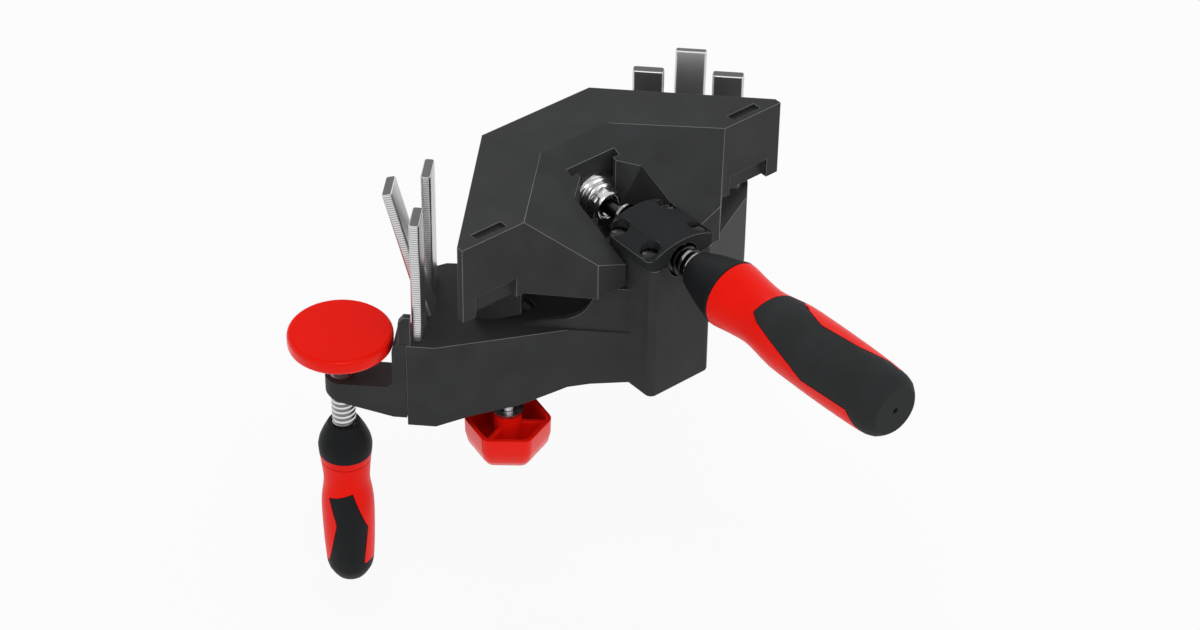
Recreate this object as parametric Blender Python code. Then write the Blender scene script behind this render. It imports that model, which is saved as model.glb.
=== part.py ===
"""Corner glue clamp for two boards that meet at a right angle.

A V-shaped base carries three steel bars on each arm. A roof-shaped jaw slides on the
base and is pushed towards the corner by a handled spindle, so that both boards are
pressed against the bars at once. A small vertical spindle with a round pad, held in a
bracket under the left arm and locked by a knob, fastens the clamp to a bench edge.

Metres, +Z up. The origin is on the bench, under the middle of the base. The corner of
the boards points along +Y and the main handle along -Y.
"""
import math

import bmesh
import bpy
from mathutils import Matrix, Vector

for old in list(bpy.data.objects):
    bpy.data.objects.remove(old)

MM = 0.001
GAP = 0.3 * MM
WELD = 0.002 * MM
ROOT_HALF = math.sqrt(0.5)
LEFT, RIGHT = -1, 1

# Base: plan of the arms, given outwards from and along the 45 degree arm line
BASE_TOP = 49 * MM
BASE_PLATE = 4 * MM
BASE_WALL = 3.4 * MM
RIB = 2.6 * MM
ARM_OUTER = 101.4 * MM
TIP_RUN = 14 * MM
ARM_INNER = ARM_OUTER - TIP_RUN
ARM_FRONT = -55.2 * MM
ARM_REAR = 7.8 * MM
BEND_X, BEND_Y = 41.2 * MM, -6.3 * MM
NOTCH_X, NOTCH_Y = 54 * MM, 74 * MM
NOTCH_FLOOR_X, NOTCH_FLOOR_Y = 38 * MM, 60 * MM
ARCH = [(101.0, 0.0), (85.0, 3.5), (63.4, 5.8), (48.1, 10.8), (33.0, 16.0)]
ARCH_REAR = 45 * MM
FOOT_SIZE, FOOT_HEIGHT = 26 * MM, 20 * MM
RIB_X = 12 * MM
CROSS_RIBS = (4 * MM, 29 * MM)
CROSS_RIB_HALF = 37 * MM
ARM_RIBS = (-33.5 * MM, -13 * MM, 8 * MM)
ARM_RIB_START = ARM_OUTER - 29.4 * MM
KNOB_RIB = ARM_OUTER - 55.4 * MM
RUNNER_SLOT = 6.6 * MM
GUSSET_FRONT, GUSSET_BACK = -32.4 * MM, -28.9 * MM
GUSSET_END, GUSSET_TOP = 46.9 * MM, 75 * MM
LUG_REACH, LUG_ROOT, LUG_TOP, LUG_THICK = 3.6 * MM, 2.4 * MM, 66 * MM, 3.6 * MM

# Column and cap that hold the main spindle
COLUMN_HALF = 19.3 * MM
COLUMN_FRONT, COLUMN_BACK = -43.5 * MM, -7 * MM
COLUMN_FOOT = 18.35 * MM
COLUMN_WALL = 3.8 * MM
COLUMN_ROUND = 3.5 * MM
PARTING = 94.5 * MM
CAP_HALF = 20.5 * MM
CAP_FRONT = -43.0 * MM
CAP_SIDE = 100 * MM
CAP_CROWN = 106 * MM
CAP_ROUND = 8 * MM
SCREW_X = 14.8 * MM
SCREW_ROWS = (-13 * MM, -35.5 * MM)
SCREW_HEAD_R, SCREW_HEAD_H, SCREW_SHANK_R = 4.5 * MM, 3.0 * MM, 2.2 * MM
SCREW_SEAT = 97.3 * MM
SCREW_LENGTH = 20 * MM

# Main spindle, its nut, the swivel and the two-part handle
SPINDLE_Z = 94 * MM
SPINDLE_R = 7.75 * MM
THREAD_END = 4 * MM
NECK_R = 4.9 * MM
GROOVE_R = 4.0 * MM
SPINDLE_TIP = 26.9 * MM
NUT_HALF = 9.6 * MM
NUT_BELOW = 11 * MM
NUT_FRONT, NUT_BACK = -37 * MM, -13 * MM
HANDLE_SPLIT, HANDLE_END = -79 * MM, -190 * MM
HANDLE_BORE_END = -90 * MM

# Roof jaw
ROOF_TOP = 120 * MM
ROOF_SKIRT = 78.1 * MM
ROOF_PLATE = 4 * MM
ROOF_WALL = 3.4 * MM
WING_X = 100 * MM
JAW_FACE = 73.5 * MM
ROOF_BACK = 70 * MM
HIP_OUTER = 63.2 * MM
HIP_X, HIP_Y = 21 * MM, 40.1 * MM
SHOULDER_X, SHOULDER_Y, SHOULDER_Z = 38.6 * MM, -25.8 * MM, 98.2 * MM
RECESS_HALF = 21.4 * MM
FUNNEL_Y = 13.5 * MM
SLOT_NECK, SLOT_NECK_Y = 11.2 * MM, 21.5 * MM
SLOT_HALF, SLOT_FRONT, SLOT_BACK = 15 * MM, 23.5 * MM, 27.5 * MM
RAIL_IN, RAIL_OUT = 48 * MM, 69 * MM
RAIL_FRONT, RAIL_REAR = -29.5 * MM, 18 * MM
RAIL_RELIEF, RAIL_LIFT, RAIL_FLARE = 13 * MM, 4.2 * MM, 2 * MM
WING_NOTCH = (67.7 * MM, 92.4 * MM, 88.9 * MM)
PLATE_SLOT = (71.3 * MM, 88.8 * MM, 2.9 * MM, 7.7 * MM)
RUNNER_OUT, RUNNER_ALONG = 60 * MM, -2 * MM
TRAVEL_BACK, TRAVEL_FRONT = 9 * MM, 20 * MM

# Flat steel bars
BAR_THICK, BAR_WIDE = 5 * MM, 16 * MM
BAR_OUT = ARM_OUTER - 4.9 * MM
BAR_TOP = 118 * MM
BAR_SEAT = 22 * MM
BAR_FRONT_ALONG, BAR_MIDDLE_ALONG, BAR_REAR_ALONG = -43 * MM, -23 * MM, -2.5 * MM
MIDDLE_TOP, MIDDLE_FOOT_OUT, MIDDLE_LEAN = 120.8 * MM, BAR_OUT - 1.9 * MM, math.radians(13.9)

# Bench bracket, pad and small spindle
PAD_TOP = 48.2 * MM
PAD_R = 26.2 * MM
PAD_THICK = 8 * MM
PAD_EDGE = 2.2 * MM
PAD_CLEAR = 0.5 * MM
BRACKET_FACE = ARM_OUTER + 7 * MM
TABLE_OUT, TABLE_ALONG = BRACKET_FACE + PAD_CLEAR + PAD_R, -45 * MM
TABLE_R = 6 * MM
TABLE_NECK_R = 4.2 * MM
TABLE_SHOULDER = 33 * MM
TONGUE_END = TABLE_OUT + 8.3 * MM
TONGUE_TOP = 22.5 * MM
TONGUE_TIP_LOW = 13.2 * MM
BRACKET_WIDE = 20 * MM
BRACKET_FOOT = 4.4 * MM
BRACKET_BAR = 10 * MM
BRACKET_RISE = 0.5 * MM
BRACKET_CHAMFER = 2.9 * MM
GRIP_SPLIT, GRIP_END = -31.5 * MM, -108 * MM

# Knob that locks the bracket
KNOB_OUT, KNOB_ALONG = ARM_OUTER - 46.9 * MM, -33 * MM
KNOB_HUB_TOP, KNOB_RIM, KNOB_BOTTOM = -4.2 * MM, -9 * MM, -30 * MM
KNOB_SIDE, KNOB_CORNER, KNOB_TURN = 22.5 * MM, 5 * MM, math.radians(20)
KNOB_BOWL = [(1.0, 0), (0.99, 0.4), (0.93, 0.68), (0.80, 0.88), (0.58, 1.0)]
KNOB_WALL = 2.6 * MM
HUB_R = 7 * MM
STUD_R = 4 * MM
STUD_TOP = 26 * MM
WASHER_R, WASHER_THICK = 8 * MM, 1.6 * MM
CLAMP_NUT_HALF, CLAMP_NUT_THICK, CLAMP_NUT_Z = 6.5 * MM, 6.5 * MM, 18 * MM


def arm(side, out, along):
    """Plan point on an arm: out from the centre square to the arm, and along it."""
    return side * (out - along) * ROOT_HALF, (out + along) * ROOT_HALF


def arm_matrix(side):
    """Axes of an arm: local X points out, local Y along the arm, local Z up."""
    out = Vector((side * ROOT_HALF, ROOT_HALF, 0))
    along = Vector((-side * ROOT_HALF, ROOT_HALF, 0))
    return Matrix((
        (out.x, along.x, 0, 0), (out.y, along.y, 0, 0), (0, 0, 1, 0), (0, 0, 0, 1)))


def mirrored(points):
    """Right half of an outline with its left half added, counter-clockwise."""
    return points + [(-x, y) for x, y in reversed(points)]


def inset(outline, distance):
    """Offset a counter-clockwise outline inwards, keeping its corners sharp."""
    moved = []
    count = len(outline)
    for i in range(count):
        before, here, after = (Vector(outline[(i + k) % count]) for k in (-1, 0, 1))
        first, second = (here - before).normalized(), (after - here).normalized()
        normal_a, normal_b = Vector((-first.y, first.x)), Vector((-second.y, second.x))
        corner = (normal_a + normal_b) * distance / (1 + normal_a.dot(normal_b))
        moved.append(tuple(here + corner))
    return moved


def rounded(outline, radii, steps=4):
    """Outline with each corner whose radius isn't zero turned into an arc."""
    points = []
    count = len(outline)
    for i, radius in enumerate(radii):
        before, here, after = (Vector(outline[(i + k) % count]) for k in (-1, 0, 1))
        if not radius:
            points.append(tuple(here))
            continue
        to_before, to_after = (before - here).normalized(), (after - here).normalized()
        half = to_before.angle(to_after) / 2
        centre = here + (to_before + to_after).normalized() * radius / math.sin(half)
        start = here + to_before * radius / math.tan(half) - centre
        end = here + to_after * radius / math.tan(half) - centre
        for k in range(steps + 1):
            ray = start.lerp(end, k / steps).normalized() * radius
            points.append(tuple(centre + ray))
    return points


def smooth_curve(points, steps):
    """Catmull-Rom curve through the points."""
    ends = [points[0]] + list(points) + [points[-1]]
    curve = []
    for i in range(1, len(ends) - 2):
        a, b, c, d = (Vector(ends[i + k]) for k in (-1, 0, 1, 2))
        for k in range(steps):
            t = k / steps
            curve.append(tuple(0.5 * (2 * b + (c - a) * t + (2 * a - 5 * b + 4 * c - d) * t * t
                                      + (3 * b - a - 3 * c + d) * t ** 3)))
    curve.append(tuple(points[-1]))
    return curve


def solid(name, bm, matrix=None):
    """Turn a bmesh into an object with outward faces."""
    bmesh.ops.remove_doubles(bm, verts=bm.verts, dist=0.00001)
    if matrix is not None:
        bm.transform(matrix)
    bmesh.ops.recalc_face_normals(bm, faces=bm.faces)
    if bm.calc_volume(signed=True) < 0:
        bmesh.ops.reverse_faces(bm, faces=bm.faces)
    mesh = bpy.data.meshes.new(name)
    bm.to_mesh(mesh)
    bm.free()
    obj = bpy.data.objects.new(name, mesh)
    bpy.context.collection.objects.link(obj)
    return obj


def prism(name, outline, low, high, matrix=None):
    """Flat outline pushed up from low to high."""
    bm = bmesh.new()
    face = bm.faces.new([bm.verts.new((x, y, low)) for x, y in outline])
    pushed = bmesh.ops.extrude_face_region(bm, geom=[face])
    top = [v for v in pushed["geom"] if isinstance(v, bmesh.types.BMVert)]
    bmesh.ops.translate(bm, vec=(0, 0, high - low), verts=top)
    return solid(name, bm, matrix)


def block(name, low, high, matrix=None):
    """Box between two corners."""
    outline = [(low[0], low[1]), (high[0], low[1]), (high[0], high[1]), (low[0], high[1])]
    return prism(name, outline, low[2], high[2], matrix)


def upright(name, outline, near, far, matrix=None):
    """Outline drawn in X and Z, pushed along Y from near to far."""
    turn = Matrix(((1, 0, 0, 0), (0, 0, 1, 0), (0, 1, 0, 0), (0, 0, 0, 1)))
    return prism(name, outline, near, far, turn if matrix is None else matrix @ turn)


def turned(name, profile, matrix=None, steps=28):
    """Profile of radius and height, spun about Z. A bored piece gives a closed loop."""
    bm = bmesh.new()
    verts = [bm.verts.new((radius, 0, height)) for radius, height in profile]
    pairs = list(zip(verts, verts[1:]))
    if profile[0][0] > 0 and profile[-1][0] > 0:
        pairs.append((verts[-1], verts[0]))
    edges = [bm.edges.new(pair) for pair in pairs]
    bmesh.ops.spin(bm, geom=verts + edges, axis=(0, 0, 1), cent=(0, 0, 0),
                   angle=2 * math.pi, steps=steps, use_merge=True)
    return solid(name, bm, matrix)


def rod(name, radius, low, high, matrix=None, steps=28):
    """Plain round bar along Z."""
    return turned(name, [(0, low), (radius, low), (radius, high), (0, high)], matrix, steps)


def along_y(x=0.0, z=SPINDLE_Z):
    """Matrix that lays a piece turned about Z along Y, at height z."""
    return Matrix.Translation((x, 0, z)) @ Matrix.Rotation(-math.pi / 2, 4, "X")


def at(x, y, z=0.0):
    return Matrix.Translation((x, y, z))


def combine(body, tool, operation):
    """Boolean the body with a tool, keep the result on the body and drop the tool."""
    step = body.modifiers.new(operation, "BOOLEAN")
    step.operation = operation
    step.object = tool
    bpy.context.view_layer.update()
    evaluated = body.evaluated_get(bpy.context.evaluated_depsgraph_get())
    body.data = bpy.data.meshes.new_from_object(evaluated)
    body.modifiers.clear()
    bpy.data.objects.remove(tool)
    bm = bmesh.new()
    bm.from_mesh(body.data)
    bmesh.ops.remove_doubles(bm, verts=bm.verts, dist=WELD)
    bmesh.ops.dissolve_degenerate(bm, edges=bm.edges, dist=WELD)
    bm.to_mesh(body.data)
    bm.free()


def cut(body, *tools):
    for tool in tools:
        combine(body, tool, "DIFFERENCE")


def add(body, *tools):
    for tool in tools:
        combine(body, tool, "UNION")


def keep(body, tool):
    combine(body, tool, "INTERSECT")


def finish(obj, colour, roughness, metallic=0.0, pivot=None):
    """Give the piece its own material, smooth shading and its place of turning."""
    material = bpy.data.materials.new(obj.name)
    material.use_nodes = True
    shader = material.node_tree.nodes["Principled BSDF"]
    shader.inputs["Base Color"].default_value = (*colour, 1)
    shader.inputs["Roughness"].default_value = roughness
    shader.inputs["Metallic"].default_value = metallic
    obj.data.materials.clear()
    obj.data.materials.append(material)
    obj.data.shade_smooth()
    obj.data.set_sharp_from_angle(angle=math.radians(30))
    if pivot is not None:
        obj.data.transform(Matrix.Translation(-Vector(pivot)))
        obj.location = pivot
    return obj


BLACK = (0.028, 0.028, 0.030)
SOFT_BLACK = (0.012, 0.012, 0.013)
RED = (0.80, 0.020, 0.010)
STEEL = (0.62, 0.62, 0.63)
OXIDE = (0.05, 0.05, 0.055)


def base_outline():
    return mirrored([
        (COLUMN_HALF - RIB, COLUMN_BACK - BASE_WALL - COLUMN_HALF),
        (BEND_X, BEND_Y),
        arm(RIGHT, ARM_INNER, ARM_FRONT),
        arm(RIGHT, ARM_OUTER, ARM_FRONT),
        arm(RIGHT, ARM_OUTER, ARM_REAR),
        (NOTCH_X, NOTCH_Y),
        (NOTCH_FLOOR_X, NOTCH_FLOOR_Y)])


def bar_section(clearance=0.0, grow=0.0):
    """Rounded flat section of a bar, thin outwards and wide along the arm."""
    x, y = BAR_THICK / 2 + clearance + grow, BAR_WIDE / 2 + clearance + grow
    corner = 1.2 * MM + clearance
    return rounded([(-x, -y), (x, -y), (x, y), (-x, y)], [corner] * 4, 2)


def bar_matrix(side, along):
    """Foot of a bar on the top of its arm; the middle bar leans outwards."""
    if along == BAR_MIDDLE_ALONG:
        lean = Matrix.Rotation(MIDDLE_LEAN, 4, "Y")
        return arm_matrix(side) @ Matrix.Translation((MIDDLE_FOOT_OUT, along, BASE_TOP)) @ lean
    return arm_matrix(side) @ Matrix.Translation((BAR_OUT, along, BASE_TOP))


def bar_tool(side, along, clearance, grow, low, high):
    """Piece of a bar's shape between two heights, for the bar, its socket and its boss."""
    return prism("bar_tool", bar_section(clearance, grow), low - BASE_TOP, high - BASE_TOP,
                 bar_matrix(side, along))


def bracket_plan(clearance=0.0):
    """Plan of the bar that runs from the bracket to the knob, along the front wall."""
    front_out = ARM_FRONT + BASE_WALL + 1.3 * MM - clearance
    bend_out, bend_along = (BEND_X + BEND_Y) * ROOT_HALF, (BEND_Y - BEND_X) * ROOT_HALF
    slope = (bend_along - ARM_FRONT) / (bend_out - ARM_INNER)
    inner = KNOB_OUT - STUD_R - 6.5 * MM - clearance
    front_in = front_out + slope * (inner - ARM_INNER)
    rear = KNOB_ALONG + WASHER_R + clearance
    rear_out = ARM_FRONT + BRACKET_WIDE + clearance
    return [(inner, front_in), (ARM_INNER, front_out), (ARM_OUTER + MM, front_out),
            (ARM_OUTER + MM, rear_out), (ARM_INNER, rear_out), (KNOB_OUT + 10 * MM, rear),
            (inner, rear)]


def base_cavity(outline):
    """Open underside of the base, with the ribs, bosses and posts left standing."""
    ceiling = BASE_TOP - BASE_PLATE
    cavity = prism("cavity", inset(outline, BASE_WALL), -MM, ceiling)
    low = -2 * MM
    for x in (-RIB_X - RIB, RIB_X):
        cut(cavity, block("rib", (x, -30 * MM, low), (x + RIB, ROOF_BACK, BASE_TOP)))
    for y in CROSS_RIBS:
        cut(cavity, block("rib", (-CROSS_RIB_HALF, y, low), (CROSS_RIB_HALF, y + RIB, BASE_TOP)))
    for side in (LEFT, RIGHT):
        frame = arm_matrix(side)
        for along in ARM_RIBS:
            cut(cavity, block("rib", (ARM_RIB_START, along, low), (ARM_OUTER, along + RIB, BASE_TOP),
                              frame))
        cut(cavity, block("rib", (ARM_RIB_START, ARM_FRONT - MM, low),
                          (ARM_RIB_START + RIB, 30 * MM, BASE_TOP), frame),
            block("rib", (KNOB_RIB, -45 * MM, low), (KNOB_RIB + RIB, -18 * MM, BASE_TOP), frame))
        for along in (BAR_FRONT_ALONG, BAR_MIDDLE_ALONG, BAR_REAR_ALONG):
            cut(cavity, bar_tool(side, along, 0, 3 * MM, BAR_SEAT - 4 * MM, BASE_TOP + MM))
    post = FOOT_SIZE / 2 - MM
    cut(cavity, block("column", (-COLUMN_HALF, COLUMN_FRONT, low),
                      (COLUMN_HALF, COLUMN_BACK, BASE_TOP)),
        rod("boss", CLAMP_NUT_HALF + 2.5 * MM, low, BASE_TOP, at(*arm(LEFT, KNOB_OUT, KNOB_ALONG))),
        block("post", (-post, -post, low), (post, post, BASE_TOP)))
    for side in (LEFT, RIGHT):
        x, y = arm(side, RUNNER_OUT, RUNNER_ALONG)
        half = WASHER_R + 1.2 * MM
        add(cavity, block("corridor", (x - half, y - TRAVEL_FRONT - half, -MM),
                          (x + half, y + TRAVEL_BACK + half, ceiling)))
    return cavity


def arch_tool():
    """Space under the sculpted lower edge of the walls."""
    curve = [(x * MM, z * MM) for x, z in ARCH]
    right = curve + [(COLUMN_HALF, COLUMN_FOOT)]
    outline = [(ARCH[0][0] * MM, -3 * MM)] + right
    outline = outline + [(-x, z) for x, z in reversed(outline)]
    return upright("arch", outline, -70 * MM, ARCH_REAR)


def gusset(side):
    """Wall that climbs from the arm to the column in a hollow curve."""
    foot, bend, head = (24.9 * MM, 55.1 * MM), (13.5 * MM, 58.5 * MM), (11.0 * MM, GUSSET_TOP)
    curve = []
    for k in range(9):
        t = k / 8
        curve.append(tuple((1 - t) ** 2 * Vector(foot) + 2 * t * (1 - t) * Vector(bend)
                           + t * t * Vector(head)))
    outline = [(GUSSET_END, BASE_TOP - MM), (GUSSET_END, BASE_TOP + 0.2 * MM)] + curve
    outline += [(-8 * MM, GUSSET_TOP), (-8 * MM, BASE_TOP - MM)]
    return upright("gusset", outline, GUSSET_FRONT, GUSSET_BACK, arm_matrix(side))


def lug(side):
    """Ear at the tip of an arm, chamfered at its outer top corner."""
    inner, outer = ARM_OUTER - LUG_ROOT, ARM_OUTER + LUG_REACH
    outline = [(inner, BASE_TOP - MM), (ARM_OUTER - 0.2 * MM, BASE_TOP - MM),
               (ARM_OUTER - 0.2 * MM, BASE_TOP + 0.8 * MM), (outer, BASE_TOP + 0.8 * MM),
               (outer, LUG_TOP - 3.5 * MM), (outer - 2.5 * MM, LUG_TOP), (inner, LUG_TOP)]
    front = ARM_FRONT + 0.2 * MM
    return upright("lug", outline, front, front + LUG_THICK, arm_matrix(side))


def cut_spindle_seat(body):
    """Round channel for the spindle with a wider seat for its nut."""
    cut(body, rod("channel", NUT_HALF - 0.4 * MM, -70 * MM, 10 * MM, along_y()),
        upright("nut_seat", nut_section(GAP), NUT_FRONT - GAP, NUT_BACK + GAP))


def make_base():
    """Arms, column and feet in one black moulding, ribbed underneath."""
    outline = base_outline()
    body = prism("base", outline, 0, BASE_TOP)
    cut(body, arch_tool())
    cut(body, base_cavity(outline))
    pad = FOOT_SIZE / 2
    add(body, block("foot", (-pad, -pad, 0), (pad, pad, FOOT_HEIGHT)))
    corners = [(-COLUMN_HALF, COLUMN_FRONT), (COLUMN_HALF, COLUMN_FRONT),
               (COLUMN_HALF, COLUMN_BACK), (-COLUMN_HALF, COLUMN_BACK)]
    column = prism("column", rounded(corners, [COLUMN_ROUND, COLUMN_ROUND, 0, 0]),
                   COLUMN_FOOT, PARTING)
    for side in (LEFT, RIGHT):
        low_x, high_x = sorted((side * RIB / 2, side * (COLUMN_HALF - COLUMN_WALL)))
        cut(column, block("hollow", (low_x, COLUMN_FRONT + COLUMN_WALL, COLUMN_FOOT - MM),
                          (high_x, COLUMN_BACK - COLUMN_WALL, 72 * MM)))
    cut_spindle_seat(column)
    for x in (-SCREW_X, SCREW_X):
        for y in SCREW_ROWS:
            cut(column, rod("screw_hole", SCREW_SHANK_R + GAP,
                            SCREW_SEAT - SCREW_LENGTH - MM, PARTING + MM, at(x, y), 12))
    add(body, column)
    for side in (LEFT, RIGHT):
        add(body, gusset(side), lug(side))
        x, y = arm(side, RUNNER_OUT, RUNNER_ALONG)
        half = RUNNER_SLOT / 2
        slot = [(x - half, y - TRAVEL_FRONT - half), (x + half, y - TRAVEL_FRONT - half),
                (x + half, y + TRAVEL_BACK + half), (x - half, y + TRAVEL_BACK + half)]
        cut(body, prism("slot", rounded(slot, [half * 0.95] * 4), 30 * MM, BASE_TOP + MM))
        for along in (BAR_FRONT_ALONG, BAR_MIDDLE_ALONG, BAR_REAR_ALONG):
            cut(body, bar_tool(side, along, GAP, 0, BAR_SEAT - GAP, BASE_TOP + 5 * MM))
    cut(body, prism("bracket_bay", bracket_plan(GAP + 0.1 * MM), -MM,
                    BRACKET_FOOT + BRACKET_BAR + GAP, arm_matrix(LEFT)))
    knob_at = arm_matrix(LEFT) @ at(KNOB_OUT, KNOB_ALONG)
    cut(body, rod("stud_hole", STUD_R + GAP, -MM, 38 * MM, knob_at),
        block("nut_slot", (-CLAMP_NUT_HALF - GAP, -CLAMP_NUT_HALF - GAP, CLAMP_NUT_Z - GAP),
              (CLAMP_NUT_HALF + GAP, 12 * MM, CLAMP_NUT_Z + CLAMP_NUT_THICK + GAP), knob_at))
    return finish(body, BLACK, 0.62)


def nut_section(clearance=0.0):
    """Square below the axis, round above it."""
    half, below = NUT_HALF + clearance, NUT_BELOW + clearance
    arc = []
    for k in range(13):
        angle = math.pi * k / 12
        arc.append((half * math.cos(angle), SPINDLE_Z + half * math.sin(angle)))
    return [(-half, SPINDLE_Z - below), (half, SPINDLE_Z - below)] + arc


def make_spindle_nut():
    nut = upright("spindle_nut", nut_section(), NUT_FRONT, NUT_BACK)
    cut(nut, rod("bore", SPINDLE_R + GAP, -60 * MM, 0, along_y()))
    return finish(nut, STEEL, 0.35, 0.9)


def make_cap():
    """Arched cover over the nut, held by four screws."""
    rise = CAP_CROWN - CAP_SIDE
    radius = (CAP_HALF ** 2 + rise ** 2) / (2 * rise)
    sweep = math.asin(CAP_HALF / radius)
    section = [(-CAP_HALF, PARTING + GAP), (CAP_HALF, PARTING + GAP)]
    for k in range(17):
        angle = sweep * (1 - k / 8)
        section.append((radius * math.sin(angle), CAP_CROWN - radius * (1 - math.cos(angle))))
    cap = upright("column_cap", section, CAP_FRONT - MM, COLUMN_BACK + MM)
    plan = [(-CAP_HALF, CAP_FRONT), (CAP_HALF, CAP_FRONT), (CAP_HALF, COLUMN_BACK),
            (-CAP_HALF, COLUMN_BACK)]
    keep(cap, prism("plan", rounded(plan, [COLUMN_ROUND, COLUMN_ROUND, CAP_ROUND, CAP_ROUND], 5),
                    PARTING, CAP_CROWN + MM))
    cut_spindle_seat(cap)
    for x in (-SCREW_X, SCREW_X):
        for y in SCREW_ROWS:
            cut(cap, rod("bore", SCREW_SHANK_R + GAP, PARTING - MM, CAP_CROWN, at(x, y), 12),
                rod("counterbore", SCREW_HEAD_R + 0.5 * MM, SCREW_SEAT, CAP_CROWN + MM,
                    at(x, y), 20))
    return finish(cap, BLACK, 0.55)


def make_cap_screws():
    """Four screws that hold the cap on the column."""
    head_low = SCREW_SEAT + GAP
    profile = [(0, SCREW_SEAT - SCREW_LENGTH), (SCREW_SHANK_R, SCREW_SEAT - SCREW_LENGTH),
               (SCREW_SHANK_R, head_low), (SCREW_HEAD_R, head_low),
               (SCREW_HEAD_R, head_low + SCREW_HEAD_H - 0.8 * MM),
               (SCREW_HEAD_R - 0.9 * MM, head_low + SCREW_HEAD_H), (0, head_low + SCREW_HEAD_H)]
    for row, y in zip(("rear", "front"), SCREW_ROWS):
        for hand, x in (("left", -SCREW_X), ("right", SCREW_X)):
            finish(turned(f"cap_screw_{row}_{hand}", profile, at(x, y), 14), OXIDE, 0.4, 0.9)


def roof_outline():
    return mirrored([
        (RECESS_HALF - 5 * MM, SHOULDER_Y),
        (SHOULDER_X, SHOULDER_Y),
        (HIP_OUTER, 0),
        (WING_X, 0),
        (WING_X, JAW_FACE / ROOT_HALF - WING_X),
        (JAW_FACE / ROOT_HALF - ROOF_BACK, ROOF_BACK)])


def hip_tool(drop):
    """Everything above the sloping hip faces: two sides and the middle."""
    along = Vector((HIP_X - HIP_OUTER, HIP_Y, 0))
    down = Vector((SHOULDER_X - HIP_OUTER, SHOULDER_Y, SHOULDER_Z - ROOF_TOP))
    normal = along.cross(down)
    reach = 1.1

    def height(x, y):
        return ROOF_TOP - (normal.x * (x - HIP_OUTER) + normal.y * y) / normal.z

    low = -HIP_Y * reach
    far_x = HIP_OUTER + (HIP_OUTER - HIP_X) * reach
    points = [(far_x, low, ROOF_TOP), (HIP_X, HIP_Y, ROOF_TOP), (-HIP_X, HIP_Y, ROOF_TOP),
              (-far_x, low, ROOF_TOP), (-HIP_X, low, height(HIP_X, low)),
              (HIP_X, low, height(HIP_X, low))]
    bm = bmesh.new()
    verts = [bm.verts.new((x, y, z - drop)) for x, y, z in points]
    faces = [bm.faces.new([verts[i] for i in loop])
             for loop in ((5, 0, 1), (5, 1, 2, 4), (4, 2, 3))]
    raised = bmesh.ops.extrude_face_region(bm, geom=faces)
    for vert in raised["geom"]:
        if isinstance(vert, bmesh.types.BMVert):
            vert.co.z = ROOF_TOP + 20 * MM
    return solid("hip", bm)


def recess_outline(grow=0.0):
    """Funnel in front of the T-slot that the swivel sits in."""
    right = [(RECESS_HALF + grow, SHOULDER_Y - 5 * MM), (RECESS_HALF + grow, FUNNEL_Y + grow / 3)]
    if grow:
        right += [(RECESS_HALF + grow, SLOT_BACK + grow)]
    else:
        right += [(SLOT_NECK, SLOT_NECK_Y), (SLOT_NECK, SLOT_FRONT), (SLOT_HALF, SLOT_FRONT),
                  (SLOT_HALF, SLOT_BACK)]
    return mirrored(right)


def rail(side, low, high, wall=0.0):
    """Box under each wing that slides on the base; its inner foot clears the gusset."""
    outer, inner = RAIL_OUT - wall, RAIL_IN + wall
    outline = [(RAIL_IN + RAIL_RELIEF, low), (outer + RAIL_FLARE, low), (outer, low + 9 * MM),
               (outer, high), (inner, high), (inner, low + RAIL_LIFT)]
    return upright("rail", outline, RAIL_FRONT + wall, RAIL_REAR - wall, arm_matrix(side))


def make_roof():
    """Sliding jaw: ribbed roof plate with skirts, hips, funnel and two guide rails."""
    outline = roof_outline()
    roof = prism("roof_jaw", outline, ROOF_SKIRT, ROOF_TOP)
    cut(roof, hip_tool(0))
    cavity = prism("cavity", inset(outline, ROOF_WALL), ROOF_SKIRT - MM, ROOF_TOP - ROOF_PLATE)
    cut(cavity, hip_tool(ROOF_PLATE),
        prism("liner", recess_outline(ROOF_WALL), ROOF_SKIRT - 2 * MM, ROOF_TOP))
    for x in (-11 * MM, 11 * MM - RIB):
        cut(cavity, block("rib", (x, SLOT_BACK, ROOF_SKIRT - 2 * MM), (x + RIB, ROOF_BACK, ROOF_TOP)))
    cut(roof, cavity)
    for side in (LEFT, RIGHT):
        beam = rail(side, BASE_TOP + GAP, ROOF_TOP - ROOF_PLATE + MM)
        cut(beam, rail(side, BASE_TOP - MM, ROOF_TOP - 2 * ROOF_PLATE, ROOF_WALL))
        x, y = arm(side, RUNNER_OUT, RUNNER_ALONG)
        add(beam, rod("boss", 6.5 * MM, BASE_TOP + GAP, ROOF_TOP - ROOF_PLATE, at(x, y), 24))
        cut(beam, hip_tool(ROOF_PLATE / 2))
        add(roof, beam)
        cut(roof, rod("screw_hole", 2.3 * MM, BASE_TOP - MM, 72 * MM, at(x, y), 16))
        low, high, top = WING_NOTCH
        near, far = sorted((side * low, side * high))
        cut(roof, block("notch", (near, -MM, ROOF_SKIRT - MM), (far, ROOF_WALL + 0.2 * MM, top)))
        low, high, front, back = PLATE_SLOT
        near, far = sorted((side * low, side * high))
        cut(roof, block("plate_slot", (near, front, ROOF_TOP - 2 * MM), (far, back, ROOF_TOP + MM)))
    cut(roof, prism("recess", recess_outline(), ROOF_SKIRT - 5 * MM, ROOF_TOP + MM))
    return finish(roof, BLACK, 0.6)


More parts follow.
